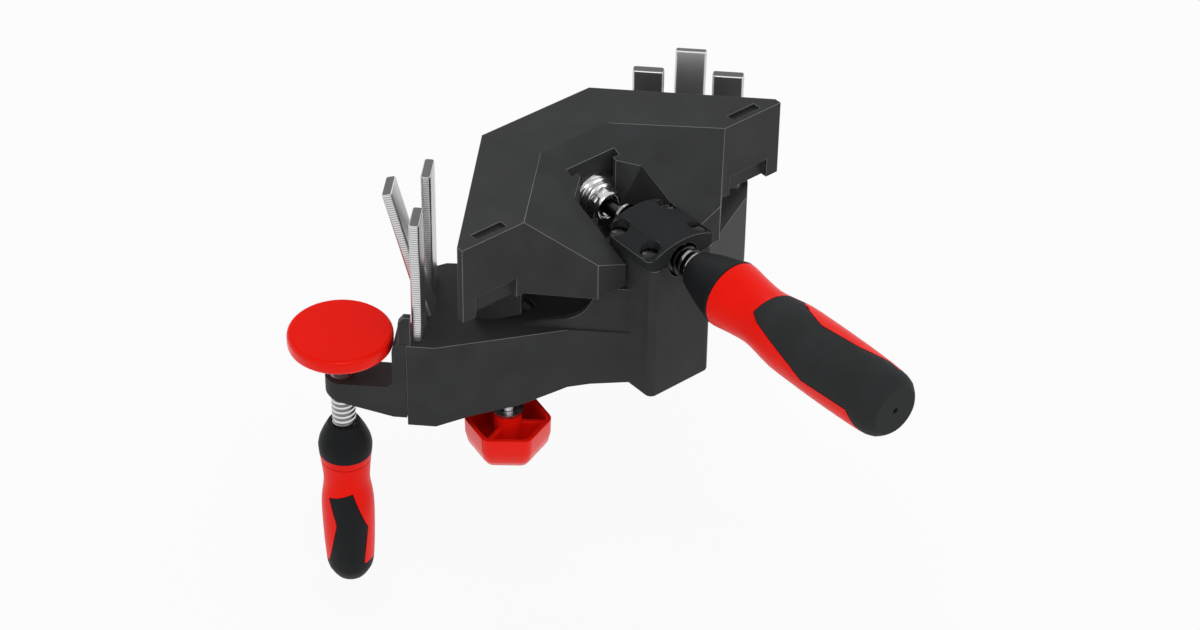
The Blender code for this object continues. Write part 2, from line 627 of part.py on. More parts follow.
def make_runner_screws():
    """Shoulder screws that hold the rails down through the slots of the base."""
    under = BASE_TOP - BASE_PLATE - GAP
    washer_low = under - 1.5 * MM
    head_low = washer_low - GAP - 3 * MM
    screw = [(0, head_low), (5 * MM, head_low), (5 * MM, head_low + 3 * MM), (3 * MM, head_low + 3 * MM),
             (3 * MM, BASE_TOP), (2 * MM, BASE_TOP), (2 * MM, 66 * MM), (0, 66 * MM)]
    washer = [(3.3 * MM, washer_low), (WASHER_R, washer_low), (WASHER_R, under), (3.3 * MM, under)]
    for side, hand in ((LEFT, "left"), (RIGHT, "right")):
        place = at(*arm(side, RUNNER_OUT, RUNNER_ALONG))
        finish(turned(f"runner_screw_{hand}", screw, place, 16), STEEL, 0.35, 0.9)
        finish(turned(f"runner_washer_{hand}", washer, place, 20), STEEL, 0.35, 0.9)


def make_bars():
    """Three flat bars on each arm; the middle one leans outwards."""
    names = {BAR_FRONT_ALONG: "front", BAR_MIDDLE_ALONG: "middle", BAR_REAR_ALONG: "rear"}
    for side, hand in ((LEFT, "left"), (RIGHT, "right")):
        for along, place in names.items():
            top = BAR_TOP
            if along == BAR_MIDDLE_ALONG:
                top = BASE_TOP + (MIDDLE_TOP - BASE_TOP) / math.cos(MIDDLE_LEAN)
            bar = prism(f"{hand}_{place}_bar", bar_section(), BAR_SEAT - BASE_TOP, top - BASE_TOP,
                        bar_matrix(side, along))
            finish(bar, STEEL, 0.35, 0.9)


def main_profile():
    """Radius along the big handle, from the spindle to its end."""
    return [(9.3, -53), (13.6, -65), (16.5, -75.5), (17.1, -79), (15.7, -89), (14.7, -101),
            (15.9, -111), (17.3, -121), (17.6, -135), (17.7, -149), (17.5, -165), (16.9, -179),
            (15.6, -186), (12.2, -190)]


def small_profile():
    return [(8.1, -8.5), (11.6, -15.5), (13.65, -22.5), (12.8, -31.5), (11.65, -44.5),
            (12.7, -53), (13.4, -61), (13.2, -77), (12.4, -95), (11.2, -102.5), (8.0, -108)]


# Grip panels, drawn flat as side step and place along the handle, and the end cap's line
MAIN_PANEL = [(1, -105), (-10.5, -107.4), (-18, -110), (-14.8, -124), (-12, -138.8), (-14, -161.6),
              (-18, -182), (-18, -184), (18, -184), (18, -182), (12.5, -175), (13.6, -145.8),
              (10.6, -135.6), (3.8, -110)]
SMALL_PANEL = [(8.3, -52), (-3.5, -47.8), (-10.2, -71.6), (-7.5, -96.5), (-7.5, -100),
               (9.8, -100), (9.8, -95), (4.8, -67.8)]
MAIN_SPIN, SMALL_SPIN = math.radians(138), math.radians(140)
MAIN_CAP_LINE, SMALL_CAP_LINE = -181 * MM, -96 * MM
PANEL_DEPTH = 2.4 * MM
PANEL_INNER = 3 * MM


def panel_tool(outline, spin, reach, matrix):
    """Straight-sided tool in the outline of a grip panel, turned to face the panel's way."""
    turn = matrix @ Matrix.Rotation(spin, 4, "Z")
    return upright("panel", outline, PANEL_INNER, reach, turn)


def radius_at(curve, height):
    """Radius of a handle curve at a height, read between its points."""
    for (r_a, z_a), (r_b, z_b) in zip(curve, curve[1:]):
        if min(z_a, z_b) <= height <= max(z_a, z_b):
            return r_a + (r_b - r_a) * (height - z_a) / (z_b - z_a)
    return curve[-1][0]


def handle_shape(name, points, low, high, shrink, matrix, steps=30):
    """Turned handle body between two heights, made thinner all round by shrink."""
    curve = [(r * MM - shrink, z * MM) for r, z in smooth_curve(points, 2)]
    inner = [p for p in curve if low + 0.1 * MM < p[1] < high - 0.1 * MM]
    profile = [(0, high), (radius_at(curve, high), high)] + inner
    profile += [(radius_at(curve, low), low), (0, low)]
    return turned(name, profile, matrix, steps)


def make_handle(names, points, panel, spin, cap_line, split, end, bore, bore_end, matrix, pivot):
    """Red core, black collar at the spindle and black grip panels with the end cap."""
    core_name, collar_name, grip_name = names
    start = points[0][1] * MM
    collar = handle_shape(collar_name, points, split, start, 0, matrix)
    cut(collar, rod("bore", bore + GAP, split - MM, start + MM, matrix))
    outline = [(x * MM, z * MM) for x, z in panel]
    turning = sum(a[0] * b[1] - b[0] * a[1] for a, b in zip(outline, outline[1:] + outline[:1]))
    if turning < 0:
        outline.reverse()
    beyond = 30 * MM
    shell = rod("cap", beyond, end - MM, cap_line, matrix)
    window = rod("cap", beyond, end - 2 * MM, cap_line + GAP, matrix)
    for turn in (spin, spin + math.pi):
        add(shell, panel_tool(outline, turn, beyond, matrix))
        add(window, panel_tool(inset(outline, -GAP), turn, beyond, matrix))
    grip = handle_shape(grip_name, points, end, split, 0, matrix)
    keep(grip, shell)
    cut(grip, handle_shape("inside", points, end + PANEL_DEPTH, split + MM, PANEL_DEPTH, matrix),
        rod("eye", 1.5 * MM, end - MM, end + PANEL_DEPTH + MM, matrix, 16))
    cut(window, handle_shape("inside", points, end + PANEL_DEPTH + GAP, split + 2 * MM,
                             PANEL_DEPTH + GAP, matrix))
    core = handle_shape(core_name, points, end, split - GAP, 0, matrix)
    cut(core, window, rod("bore", bore + GAP, bore_end, split + MM, matrix))
    finish(collar, SOFT_BLACK, 0.7, 0, pivot)
    finish(core, RED, 0.4, 0, pivot)
    finish(grip, SOFT_BLACK, 0.75, 0, pivot)


def make_main_spindle():
    pivot = (0, 0, SPINDLE_Z)
    profile = [(0, HANDLE_BORE_END + MM), (SPINDLE_R, HANDLE_BORE_END + MM), (SPINDLE_R, THREAD_END),
               (NECK_R, THREAD_END + 2 * MM), (NECK_R, 21 * MM), (GROOVE_R, 21 * MM),
               (GROOVE_R, 22.8 * MM), (NECK_R, 22.8 * MM), (NECK_R, SPINDLE_TIP), (0, SPINDLE_TIP)]
    finish(turned("main_spindle", profile, along_y()), OXIDE, 0.35, 0.9, pivot)
    bore = NECK_R + GAP
    bush = [(bore, 12.5), (7.0, 12.5), (7.7, 13.2), (7.7, 15.2), (6.9, 16), (8.1, 18.2),
            (8.1, 19.6), (8.7, 20), (8.7, 22), (8.0, 22.4), (8.0, 23.8), (13, 23.8), (13, 27.2),
            (7.2, 27.2), (7.2, 20.8)]
    profile = [(r if r == bore else r * MM, y * MM) for r, y in bush] + [(bore, 20.8 * MM)]
    finish(turned("swivel_bush", profile, along_y()), STEEL, 0.25, 0.95, pivot)
    ring = [(GROOVE_R + GAP, 21.2 * MM), (6.8 * MM, 21.2 * MM), (6.8 * MM, 22.6 * MM),
            (GROOVE_R + GAP, 22.6 * MM)]
    finish(turned("swivel_ring", ring, along_y()), STEEL, 0.3, 0.9, pivot)


def make_bracket():
    """Arm for the bench spindle; its inner bar is slotted for the knob's stud."""
    frame = arm_matrix(LEFT)
    outer = ARM_OUTER + GAP
    top = BASE_TOP + BRACKET_RISE
    profile = [(outer, BRACKET_FOOT), (BRACKET_FACE, BRACKET_FOOT), (TONGUE_END, TONGUE_TIP_LOW),
               (TONGUE_END, TONGUE_TOP), (BRACKET_FACE + BRACKET_CHAMFER, TONGUE_TOP),
               (BRACKET_FACE, TONGUE_TOP + BRACKET_CHAMFER), (BRACKET_FACE, top - 4.4 * MM),
               (BRACKET_FACE - 2.4 * MM, top), (outer, top)]
    body = upright("table_bracket", profile, ARM_FRONT, ARM_FRONT + BRACKET_WIDE, frame)
    half = BRACKET_WIDE / 2
    plan = [(outer - MM, ARM_FRONT - MM), (TONGUE_END, ARM_FRONT), (TONGUE_END, ARM_FRONT + BRACKET_WIDE),
            (outer - MM, ARM_FRONT + BRACKET_WIDE + MM)]
    keep(body, prism("plan", rounded(plan, [0, half * 0.99, half * 0.99, 0], 8), 0, 60 * MM, frame))
    add(body, prism("inner_bar", bracket_plan(), BRACKET_FOOT, BRACKET_FOOT + BRACKET_BAR, frame))
    slot = STUD_R + 2 * GAP
    cut(body, block("slot", (KNOB_OUT - 25 * MM, KNOB_ALONG - slot, 0),
                    (KNOB_OUT, KNOB_ALONG + slot, 20 * MM), frame),
        rod("slot_end", slot, 0, 20 * MM, frame @ at(KNOB_OUT, KNOB_ALONG), 24),
        rod("thread", TABLE_R + GAP, 0, 40 * MM, frame @ at(TABLE_OUT, TABLE_ALONG)))
    return finish(body, BLACK, 0.6)


def make_table_spindle():
    x, y = arm(LEFT, TABLE_OUT, TABLE_ALONG)
    place, pivot = at(x, y), (x, y, 0)
    groove_low, groove_high = PAD_TOP - 12 * MM, PAD_TOP - 10.4 * MM
    groove_r, ball_r, ball_top = TABLE_NECK_R - 0.8 * MM, TABLE_NECK_R + MM, PAD_TOP - 4.2 * MM
    profile = [(0, -40 * MM), (TABLE_R, -40 * MM), (TABLE_R, TABLE_SHOULDER),
               (TABLE_NECK_R, TABLE_SHOULDER + 1.5 * MM), (TABLE_NECK_R, groove_low),
               (groove_r, groove_low), (groove_r, groove_high), (TABLE_NECK_R, groove_high),
               (ball_r, groove_high + 1.7 * MM), (ball_r, ball_top - 1.6 * MM),
               (ball_r - 1.6 * MM, ball_top), (0, ball_top)]
    finish(turned("table_spindle", profile, place), STEEL, 0.25, 0.95, pivot)
    low, neck_low, socket = PAD_TOP - PAD_THICK, groove_low - MM, ball_r + 0.4 * MM
    pad = [(TABLE_NECK_R + GAP, neck_low), (8.4 * MM, neck_low), (9 * MM, low)]
    for middle, start in ((low + PAD_EDGE, -math.pi / 2), (PAD_TOP - PAD_EDGE, 0)):
        for k in range(4):
            angle = start + math.pi / 2 * k / 3
            pad.append((PAD_R - PAD_EDGE + PAD_EDGE * math.cos(angle),
                        middle + PAD_EDGE * math.sin(angle)))
    roof = ball_top + 0.4 * MM
    pad += [(0, PAD_TOP), (0, roof), (socket - 1.4 * MM, roof), (socket, roof - 1.8 * MM),
            (socket, groove_low - 0.2 * MM), (TABLE_NECK_R + GAP, groove_low - 0.2 * MM)]
    finish(turned("table_pad", pad, place, 48), RED, 0.35, 0, pivot)
    inner, outer = groove_r + GAP, socket - GAP
    ring = [(inner, groove_low + 0.15 * MM), (outer, groove_low + 0.15 * MM),
            (outer, groove_high - 0.2 * MM), (inner, groove_high - 0.2 * MM)]
    finish(turned("pad_ring", ring, place, 24), STEEL, 0.3, 0.9, pivot)


def knob_outline(reach):
    """Six-sided outline with rounded corners."""
    points = []
    for k in range(6):
        angle = KNOB_TURN + math.pi / 3 * k
        points.append((reach * math.cos(angle), reach * math.sin(angle)))
    return rounded(points, [KNOB_CORNER * reach / KNOB_SIDE] * 6, 3)


def knob_shell(name, rim, drop, shrink, matrix):
    """Bowl lofted from the rim to a smaller rounded bottom."""
    bm = bmesh.new()
    loops = []
    for scale, share in KNOB_BOWL:
        ring = knob_outline(KNOB_SIDE * scale - shrink)
        loops.append([bm.verts.new((px, py, rim - share * drop)) for px, py in ring])
    for upper, lower in zip(loops, loops[1:]):
        count = len(upper)
        for i in range(count):
            bm.faces.new((upper[i], upper[(i + 1) % count], lower[(i + 1) % count], lower[i]))
    bm.faces.new(loops[0])
    bm.faces.new(list(reversed(loops[-1])))
    return solid(name, bm, matrix)


def make_knob():
    """Red bowl-shaped knob with a ribbed hub, its stud, washer and trapped nut."""
    x, y = arm(LEFT, KNOB_OUT, KNOB_ALONG)
    place, pivot = at(x, y), (x, y, 0)
    depth = KNOB_RIM - KNOB_BOTTOM
    knob = knob_shell("lock_knob", KNOB_RIM, depth, 0, place)
    hollow = knob_shell("hollow", KNOB_RIM + MM, depth - KNOB_WALL + MM, KNOB_WALL, place)
    cut(hollow, rod("hub", HUB_R, KNOB_BOTTOM - MM, KNOB_HUB_TOP, place, 24))
    for k in range(3):
        turn = place @ Matrix.Rotation(KNOB_TURN + math.pi * (2 * k + 1) / 3, 4, "Z")
        cut(hollow, block("rib", (0, -1.2 * MM, KNOB_BOTTOM), (30 * MM, 1.2 * MM, KNOB_RIM - 2 * MM), turn))
    cut(knob, hollow)
    add(knob, rod("hub", HUB_R, KNOB_BOTTOM + MM, KNOB_HUB_TOP, place, 24))
    cut(knob, rod("bore", STUD_R + GAP, KNOB_BOTTOM + 4 * MM, KNOB_HUB_TOP + MM, place, 24))
    finish(knob, RED, 0.25, 0, pivot)
    finish(rod("knob_stud", STUD_R, KNOB_BOTTOM + 4.3 * MM, STUD_TOP, place, 24), STEEL, 0.25, 0.95, pivot)
    low = KNOB_HUB_TOP + GAP
    washer = [(STUD_R + GAP, low), (WASHER_R, low), (WASHER_R, low + WASHER_THICK), (STUD_R + GAP, low + WASHER_THICK)]
    finish(turned("knob_washer", washer, place, 24), STEEL, 0.25, 0.95, pivot)
    nut_at = arm_matrix(LEFT) @ at(KNOB_OUT, KNOB_ALONG)
    nut = block("clamp_nut", (-CLAMP_NUT_HALF, -CLAMP_NUT_HALF, CLAMP_NUT_Z),
                (CLAMP_NUT_HALF, CLAMP_NUT_HALF, CLAMP_NUT_Z + CLAMP_NUT_THICK), nut_at)
    cut(nut, rod("thread", STUD_R + GAP, 0, 40 * MM, nut_at, 24))
    finish(nut, STEEL, 0.35, 0.9)


make_base()
make_cap()
make_cap_screws()
make_spindle_nut()
make_roof()
make_runner_screws()
make_bars()
make_main_spindle()
make_handle(("main_handle", "main_handle_collar", "main_handle_grip"), main_profile(), MAIN_PANEL,
            MAIN_SPIN, MAIN_CAP_LINE, HANDLE_SPLIT, HANDLE_END, SPINDLE_R, HANDLE_BORE_END,
            along_y(), (0, 0, SPINDLE_Z))
make_bracket()
make_table_spindle()
make_handle(("table_handle", "table_handle_collar", "table_handle_grip"), small_profile(), SMALL_PANEL,
            SMALL_SPIN, SMALL_CAP_LINE, GRIP_SPLIT, GRIP_END, TABLE_R, -41 * MM,
            at(*arm(LEFT, TABLE_OUT, TABLE_ALONG)), (*arm(LEFT, TABLE_OUT, TABLE_ALONG), 0))
make_knob()
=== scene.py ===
import math

import bmesh
import bpy
from mathutils import Matrix, Vector


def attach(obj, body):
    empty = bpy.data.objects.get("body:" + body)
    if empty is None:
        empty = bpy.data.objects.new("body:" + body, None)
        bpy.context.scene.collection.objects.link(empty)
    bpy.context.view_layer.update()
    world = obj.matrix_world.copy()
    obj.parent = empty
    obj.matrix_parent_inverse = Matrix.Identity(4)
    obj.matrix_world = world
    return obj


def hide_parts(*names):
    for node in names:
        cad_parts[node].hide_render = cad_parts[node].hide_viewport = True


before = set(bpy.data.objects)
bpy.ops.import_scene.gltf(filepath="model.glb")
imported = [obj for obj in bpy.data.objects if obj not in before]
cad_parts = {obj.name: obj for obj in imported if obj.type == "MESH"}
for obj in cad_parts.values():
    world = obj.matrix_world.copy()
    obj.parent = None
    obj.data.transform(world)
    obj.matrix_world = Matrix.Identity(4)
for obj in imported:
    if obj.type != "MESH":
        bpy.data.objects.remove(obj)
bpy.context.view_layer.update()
MM = 0.001

# The view: a long lens looks down on the clamp from its front left corner.
# PHOTO_WIDTH pixels across; the jaw plate's front edge is TARGET in that picture.
PHOTO_WIDTH, PHOTO_HEIGHT = 1200, 630
FOCAL_PIXELS, DISTANCE = 3248.84, 1565.9 * MM
TARGET, TARGET_PIXEL = Vector((0, 0, 120 * MM)), (626.6, 174.56)
azimuth, elevation, roll = math.radians(-39.97), math.radians(37.55), math.radians(0.80)

forward = Vector((-math.sin(azimuth) * math.cos(elevation),
                  math.cos(azimuth) * math.cos(elevation), -math.sin(elevation)))
level = Vector((math.cos(azimuth), math.sin(azimuth), 0))
upward = level.cross(forward)
right = level * math.cos(roll) + upward * math.sin(roll)
up = upward * math.cos(roll) - level * math.sin(roll)
across = (TARGET_PIXEL[0] - PHOTO_WIDTH / 2) / FOCAL_PIXELS * DISTANCE
above = (PHOTO_HEIGHT / 2 - TARGET_PIXEL[1]) / FOCAL_PIXELS * DISTANCE
eye = TARGET - right * across - up * above - forward * DISTANCE

camera = bpy.data.objects.new("camera", bpy.data.cameras.new("camera"))
camera.data.sensor_width = 36
camera.data.lens = FOCAL_PIXELS / PHOTO_WIDTH * 36
camera.data.clip_start = 0.05
camera.matrix_world = Matrix((
    (right.x, up.x, -forward.x, eye.x), (right.y, up.y, -forward.y, eye.y),
    (right.z, up.z, -forward.z, eye.z), (0, 0, 0, 1)))
bpy.context.collection.objects.link(camera)
bpy.context.scene.camera = camera
bpy.context.scene.view_settings.view_transform = "Standard"

# The studio: a pale floor below the small handle, a pale room and three soft lamps.
# Camera and mirror rays see plain white, so the background doesn't light the clamp.
FLOOR_Z, FLOOR_HALF, FLOOR_GLOW, ROOM_STRENGTH = -0.16, 4, 0.82, 0.85
LAMP_AIM = Vector((0, 0, 60 * MM))


def see_white(nodes, links, shaded, white, socket):
    """Show white to the camera and to reflections, and the shaded look to other rays."""
    path = nodes.new("ShaderNodeLightPath")
    seen = nodes.new("ShaderNodeMath")
    seen.operation = "MAXIMUM"
    links.new(path.outputs["Is Camera Ray"], seen.inputs[0])
    links.new(path.outputs["Is Glossy Ray"], seen.inputs[1])
    both = nodes.new("ShaderNodeMath")
    both.operation = "MAXIMUM"
    links.new(seen.outputs[0], both.inputs[0])
    links.new(path.outputs["Is Transmission Ray"], both.inputs[1])
    mix = nodes.new("ShaderNodeMixShader")
    links.new(both.outputs[0], mix.inputs[0])
    links.new(shaded, mix.inputs[1])
    links.new(white, mix.inputs[2])
    links.new(mix.outputs[0], socket)


room = bpy.data.worlds.new("room")
bpy.context.scene.world = room
room.use_nodes = True
nodes, links = room.node_tree.nodes, room.node_tree.links
nodes["Background"].inputs["Color"].default_value = (1, 1, 1, 1)
nodes["Background"].inputs["Strength"].default_value = ROOM_STRENGTH
white = nodes.new("ShaderNodeBackground")
white.inputs["Strength"].default_value = 1.0
see_white(nodes, links, nodes["Background"].outputs[0], white.outputs[0],
          nodes["World Output"].inputs["Surface"])

bm = bmesh.new()
bmesh.ops.create_grid(bm, x_segments=1, y_segments=1, size=FLOOR_HALF)
bmesh.ops.translate(bm, vec=(0, 0, FLOOR_Z), verts=bm.verts)
floor = bpy.data.objects.new("floor", bpy.data.meshes.new("floor"))
bm.to_mesh(floor.data)
bm.free()
bpy.context.collection.objects.link(floor)
paint = bpy.data.materials.new("pale_floor")
paint.use_nodes = True
nodes, links = paint.node_tree.nodes, paint.node_tree.links
nodes["Principled BSDF"].inputs["Base Color"].default_value = (0.85, 0.85, 0.85, 1)
nodes["Principled BSDF"].inputs["Roughness"].default_value = 0.9
glow = nodes.new("ShaderNodeEmission")
faded = nodes.new("ShaderNodeMixShader")
faded.inputs[0].default_value = FLOOR_GLOW
links.new(nodes["Principled BSDF"].outputs[0], faded.inputs[1])
links.new(glow.outputs[0], faded.inputs[2])
see_white(nodes, links, nodes["Principled BSDF"].outputs[0], faded.outputs[0],
          nodes["Material Output"].inputs["Surface"])
floor.data.materials.append(paint)


def soft_lamp(name, place, size, watts):
    """Square lamp that faces the clamp."""
    lamp = bpy.data.objects.new(name, bpy.data.lights.new(name, "AREA"))
    lamp.data.size = size
    lamp.data.energy = watts
    facing = (LAMP_AIM - Vector(place)).to_track_quat("-Z", "Y").to_matrix().to_4x4()
    lamp.matrix_world = Matrix.Translation(place) @ facing
    bpy.context.collection.objects.link(lamp)


soft_lamp("window", (-0.6, -0.7, 1.4), 0.6, 4)
soft_lamp("fill", (0.9, -1.3, 0.6), 0.8, 2.5)
soft_lamp("back", (0.5, 1.3, 1.1), 0.6, 2)

# The base is one black moulding: two arms, the column and a ribbed underside.
# It is glass-filled plastic with a fine matt grain and slightly broken edges. The centre
# foot tapers, so that it stays hidden behind the arch of the front rib.
BLACK, GRAIN, EDGE, BASE_EDGE = (0.033, 0.034, 0.035), 0.45 * MM, 0.5 * MM, 0.4 * MM
CLOUDS_PER_METRE, SHEEN_SPREAD = 55, 0.06
FOOT_HALF, FOOT_TAPER, NEAR = 13 * MM, 0.5, 0.1 * MM


def grained_plastic(name, colour, roughness, grain=GRAIN, depth=0.25, mottle=0.12, gloss=0.1,
                    tint=(1, 1, 1)):
    """Moulded plastic: fine grain in the surface, faint clouds in colour and sheen."""
    finish = bpy.data.materials.new(name)
    finish.use_nodes = True
    nodes, links = finish.node_tree.nodes, finish.node_tree.links
    shader = nodes["Principled BSDF"]
    shader.inputs["Specular IOR Level"].default_value = gloss
    shader.inputs["Specular Tint"].default_value = (*tint, 1)
    place = nodes.new("ShaderNodeTexCoord")
    clouds = nodes.new("ShaderNodeTexNoise")
    clouds.inputs["Scale"].default_value = CLOUDS_PER_METRE
    clouds.inputs["Detail"].default_value = 5
    links.new(place.outputs["Object"], clouds.inputs["Vector"])
    tone = nodes.new("ShaderNodeValToRGB")
    tone.color_ramp.elements[0].position, tone.color_ramp.elements[1].position = 0.3, 0.7
    tone.color_ramp.elements[0].color = (*(c * (1 - mottle) for c in colour), 1)
    tone.color_ramp.elements[1].color = (*(min(1, c * (1 + mottle)) for c in colour), 1)
    links.new(clouds.outputs["Fac"], tone.inputs["Fac"])
    links.new(tone.outputs["Color"], shader.inputs["Base Color"])
    sheen = nodes.new("ShaderNodeMapRange")
    sheen.inputs["To Min"].default_value = roughness - SHEEN_SPREAD
    sheen.inputs["To Max"].default_value = roughness + SHEEN_SPREAD
    links.new(clouds.outputs["Fac"], sheen.inputs["Value"])
    links.new(sheen.outputs["Result"], shader.inputs["Roughness"])
    pores = nodes.new("ShaderNodeTexNoise")
    pores.inputs["Scale"].default_value = 1 / grain
    pores.inputs["Detail"].default_value = 2
    links.new(place.outputs["Object"], pores.inputs["Vector"])
    bump = nodes.new("ShaderNodeBump")
    bump.inputs["Strength"].default_value = depth
    bump.inputs["Distance"].default_value = grain / 4
    links.new(pores.outputs["Fac"], bump.inputs["Height"])
    links.new(bump.outputs["Normal"], shader.inputs["Normal"])
    return finish


def piece(name, bm, finishes, body, slot, *nodes):
    """Finished piece from a bmesh, riding on its body in place of its CAD nodes."""
    mesh = bpy.data.meshes.new(name)
    bm.to_mesh(mesh)
    bm.free()
    mesh.shade_smooth()
    mesh.set_sharp_from_angle(angle=math.radians(50))
    obj = bpy.data.objects.new(name, mesh)
    bpy.context.collection.objects.link(obj)
    flat = obj.modifiers.new("flat_faces", "WEIGHTED_NORMAL")
    flat.weight = 100
    flat.keep_sharp = True
    for finish in finishes:
        mesh.materials.append(finish)
    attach(obj, body)
    if nodes:
        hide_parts(*nodes)


def solid_of(node):
    """Merged copy of a CAD node's solid, with its flat faces whole again."""
    bm = bmesh.new()
    bm.from_mesh(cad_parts[node].data)
    bmesh.ops.remove_doubles(bm, verts=bm.verts, dist=0.005 * MM)
    bmesh.ops.dissolve_limit(bm, angle_limit=math.radians(0.4), verts=bm.verts, edges=bm.edges,
                             delimit={"NORMAL"})
    return bm


def break_edges(bm, width, finish=-1, least=2.2, angle=28, roomy=False):
    """Round the outward edges that are long enough, with the finish of that number.

    Roomy leaves the edges that meet a short one sharp, so that the rest get their full width.
    """
    tight = {v for e in bm.edges if roomy and e.calc_length() < least * width for v in e.verts}
    outward = [e for e in bm.edges if e.is_manifold and e.is_convex and not tight & set(e.verts)
               and e.calc_face_angle(0) > math.radians(angle) and e.calc_length() > least * width]
    bmesh.ops.bevel(bm, geom=outward, offset=width, offset_type="OFFSET", affect="EDGES",
                    segments=2, profile=0.5, material=finish, clamp_overlap=True)


black_moulding = grained_plastic("black_moulding", BLACK, 0.55)
# Painted highlight: a lighter grey for the broken edges of the black mouldings, standing in for
# the light that catches those edges.
painted_edge_highlight = grained_plastic("painted_edge_highlight", (0.16, 0.163, 0.166), 0.34, depth=0.08,
                                gloss=0.5)
bm = solid_of("base")
for vert in bm.verts:
    if vert.co.z < NEAR and max(map(abs, vert.co.xy)) < FOOT_HALF + NEAR:
        vert.co.xy *= FOOT_TAPER
# The base's broken edges take the painted highlight.
break_edges(bm, BASE_EDGE, 1, roomy=True)
piece("base_moulding", bm, [black_moulding, painted_edge_highlight], "base", "black_plastic", "base")

# The cap is an arched black moulding that closes the nut into the column. Four black steel
# screws with cross recesses hold it down in counterbored holes.
CROSS_REACH, CROSS_HALF_WIDTH, CROSS_DEPTH = 2.6 * MM, 0.6 * MM, 1.7 * MM
CROSS_TURN, CROSS_TAPER, CAP_EDGE = 0.4, 0.65, 0.35 * MM
bm = solid_of("column_cap")
# The cap's broken edges take the painted highlight.
break_edges(bm, CAP_EDGE, 1, angle=40, roomy=True)
cap_black = grained_plastic("cap_black", (0.020, 0.021, 0.022), 0.6, gloss=0.05)
piece("cap_moulding", bm, [cap_black, painted_edge_highlight], "base", "black_plastic", "column_cap")


def metal(name, colour, roughness, scratch=0.03, grain=0.9 * MM, depth=0.06):
    """Bare or plated metal with faint marks in its sheen and surface."""
    finish = bpy.data.materials.new(name)
    finish.use_nodes = True
    nodes, links = finish.node_tree.nodes, finish.node_tree.links
    shader = nodes["Principled BSDF"]
    shader.inputs["Metallic"].default_value = 1.0
    place = nodes.new("ShaderNodeTexCoord")
    marks = nodes.new("ShaderNodeTexNoise")
    marks.inputs["Scale"].default_value = 1 / grain
    marks.inputs["Detail"].default_value = 4
    links.new(place.outputs["Object"], marks.inputs["Vector"])
    tone = nodes.new("ShaderNodeValToRGB")
    tone.color_ramp.elements[0].color = (*(c * 0.88 for c in colour), 1)
    tone.color_ramp.elements[1].color = (*colour, 1)
    links.new(marks.outputs["Fac"], tone.inputs["Fac"])
    links.new(tone.outputs["Color"], shader.inputs["Base Color"])
    sheen = nodes.new("ShaderNodeMapRange")
    sheen.inputs["To Min"].default_value = roughness - scratch
    sheen.inputs["To Max"].default_value = roughness + scratch
    links.new(marks.outputs["Fac"], sheen.inputs["Value"])
    links.new(sheen.outputs["Result"], shader.inputs["Roughness"])
    bump = nodes.new("ShaderNodeBump")
    bump.inputs["Strength"].default_value = depth
    bump.inputs["Distance"].default_value = 0.1 * MM
    links.new(marks.outputs["Fac"], bump.inputs["Height"])
    links.new(bump.outputs["Normal"], shader.inputs["Normal"])
    return finish


def sink_cross(bm):
    """Cross recess for a driver, sunk into the flat round top of a screw's head."""
    top = max(bm.faces, key=lambda face: face.calc_center_median().z)
    centre, rim = top.calc_center_median(), top.edges[:]
    bm.faces.remove(top)
    corners = []
    for turn in range(4):
        quarter = Matrix.Rotation(turn * math.pi / 2 + CROSS_TURN, 3, "Z")
        for x, y in ((CROSS_REACH, -CROSS_HALF_WIDTH), (CROSS_REACH, CROSS_HALF_WIDTH),
                     (CROSS_HALF_WIDTH, CROSS_HALF_WIDTH)):
            corners.append(bm.verts.new(centre + quarter @ Vector((x, y, 0))))
    cross = bm.faces.new(corners)
    bmesh.ops.bridge_loops(bm, edges=rim + cross.edges[:])
    sunk = bmesh.ops.extrude_face_region(bm, geom=[cross])
    bottom = [v for v in sunk["geom"] if isinstance(v, bmesh.types.BMVert)]
    bmesh.ops.translate(bm, vec=(0, 0, -CROSS_DEPTH), verts=bottom)
    bmesh.ops.scale(bm, vec=(CROSS_TAPER, CROSS_TAPER, 1), space=Matrix.Translation(-centre),
                    verts=bottom)
    bmesh.ops.recalc_face_normals(bm, faces=bm.faces)


black_steel = metal("black_steel", (0.05, 0.05, 0.053), 0.25)
zinc = metal("zinc", (0.78, 0.78, 0.79), 0.2)
for row in ("front", "rear"):
    for hand in ("left", "right"):
        node = f"cap_screw_{row}_{hand}"
        bm = solid_of(node)
        sink_cross(bm)
        piece(f"{node}_head", bm, [black_steel], "base", "dark_steel", node)
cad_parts["spindle_nut"].data.materials[0] = zinc

# Six flat steel bars stand in the arms. Their narrow sides are serrated across, the ends are
# sawn and the rest is bright zinc plate. The middle bar of each arm leans outwards.
HALF_BAR, TOOTH_PITCH, TOOTH_DEPTH, RIM = 8 * MM, 1.3 * MM, 0.4 * MM, 0.4 * MM
sawn_end = metal("sawn_end", (0.16, 0.16, 0.165), 0.5, grain=0.35 * MM, depth=0.6)
tooth_shade = metal("tooth_shade", (0.26, 0.26, 0.265), 0.4)
bar_zinc = metal("bar_zinc", (0.80, 0.80, 0.81), 0.36, 0.08, 0.5 * MM, 0.3)


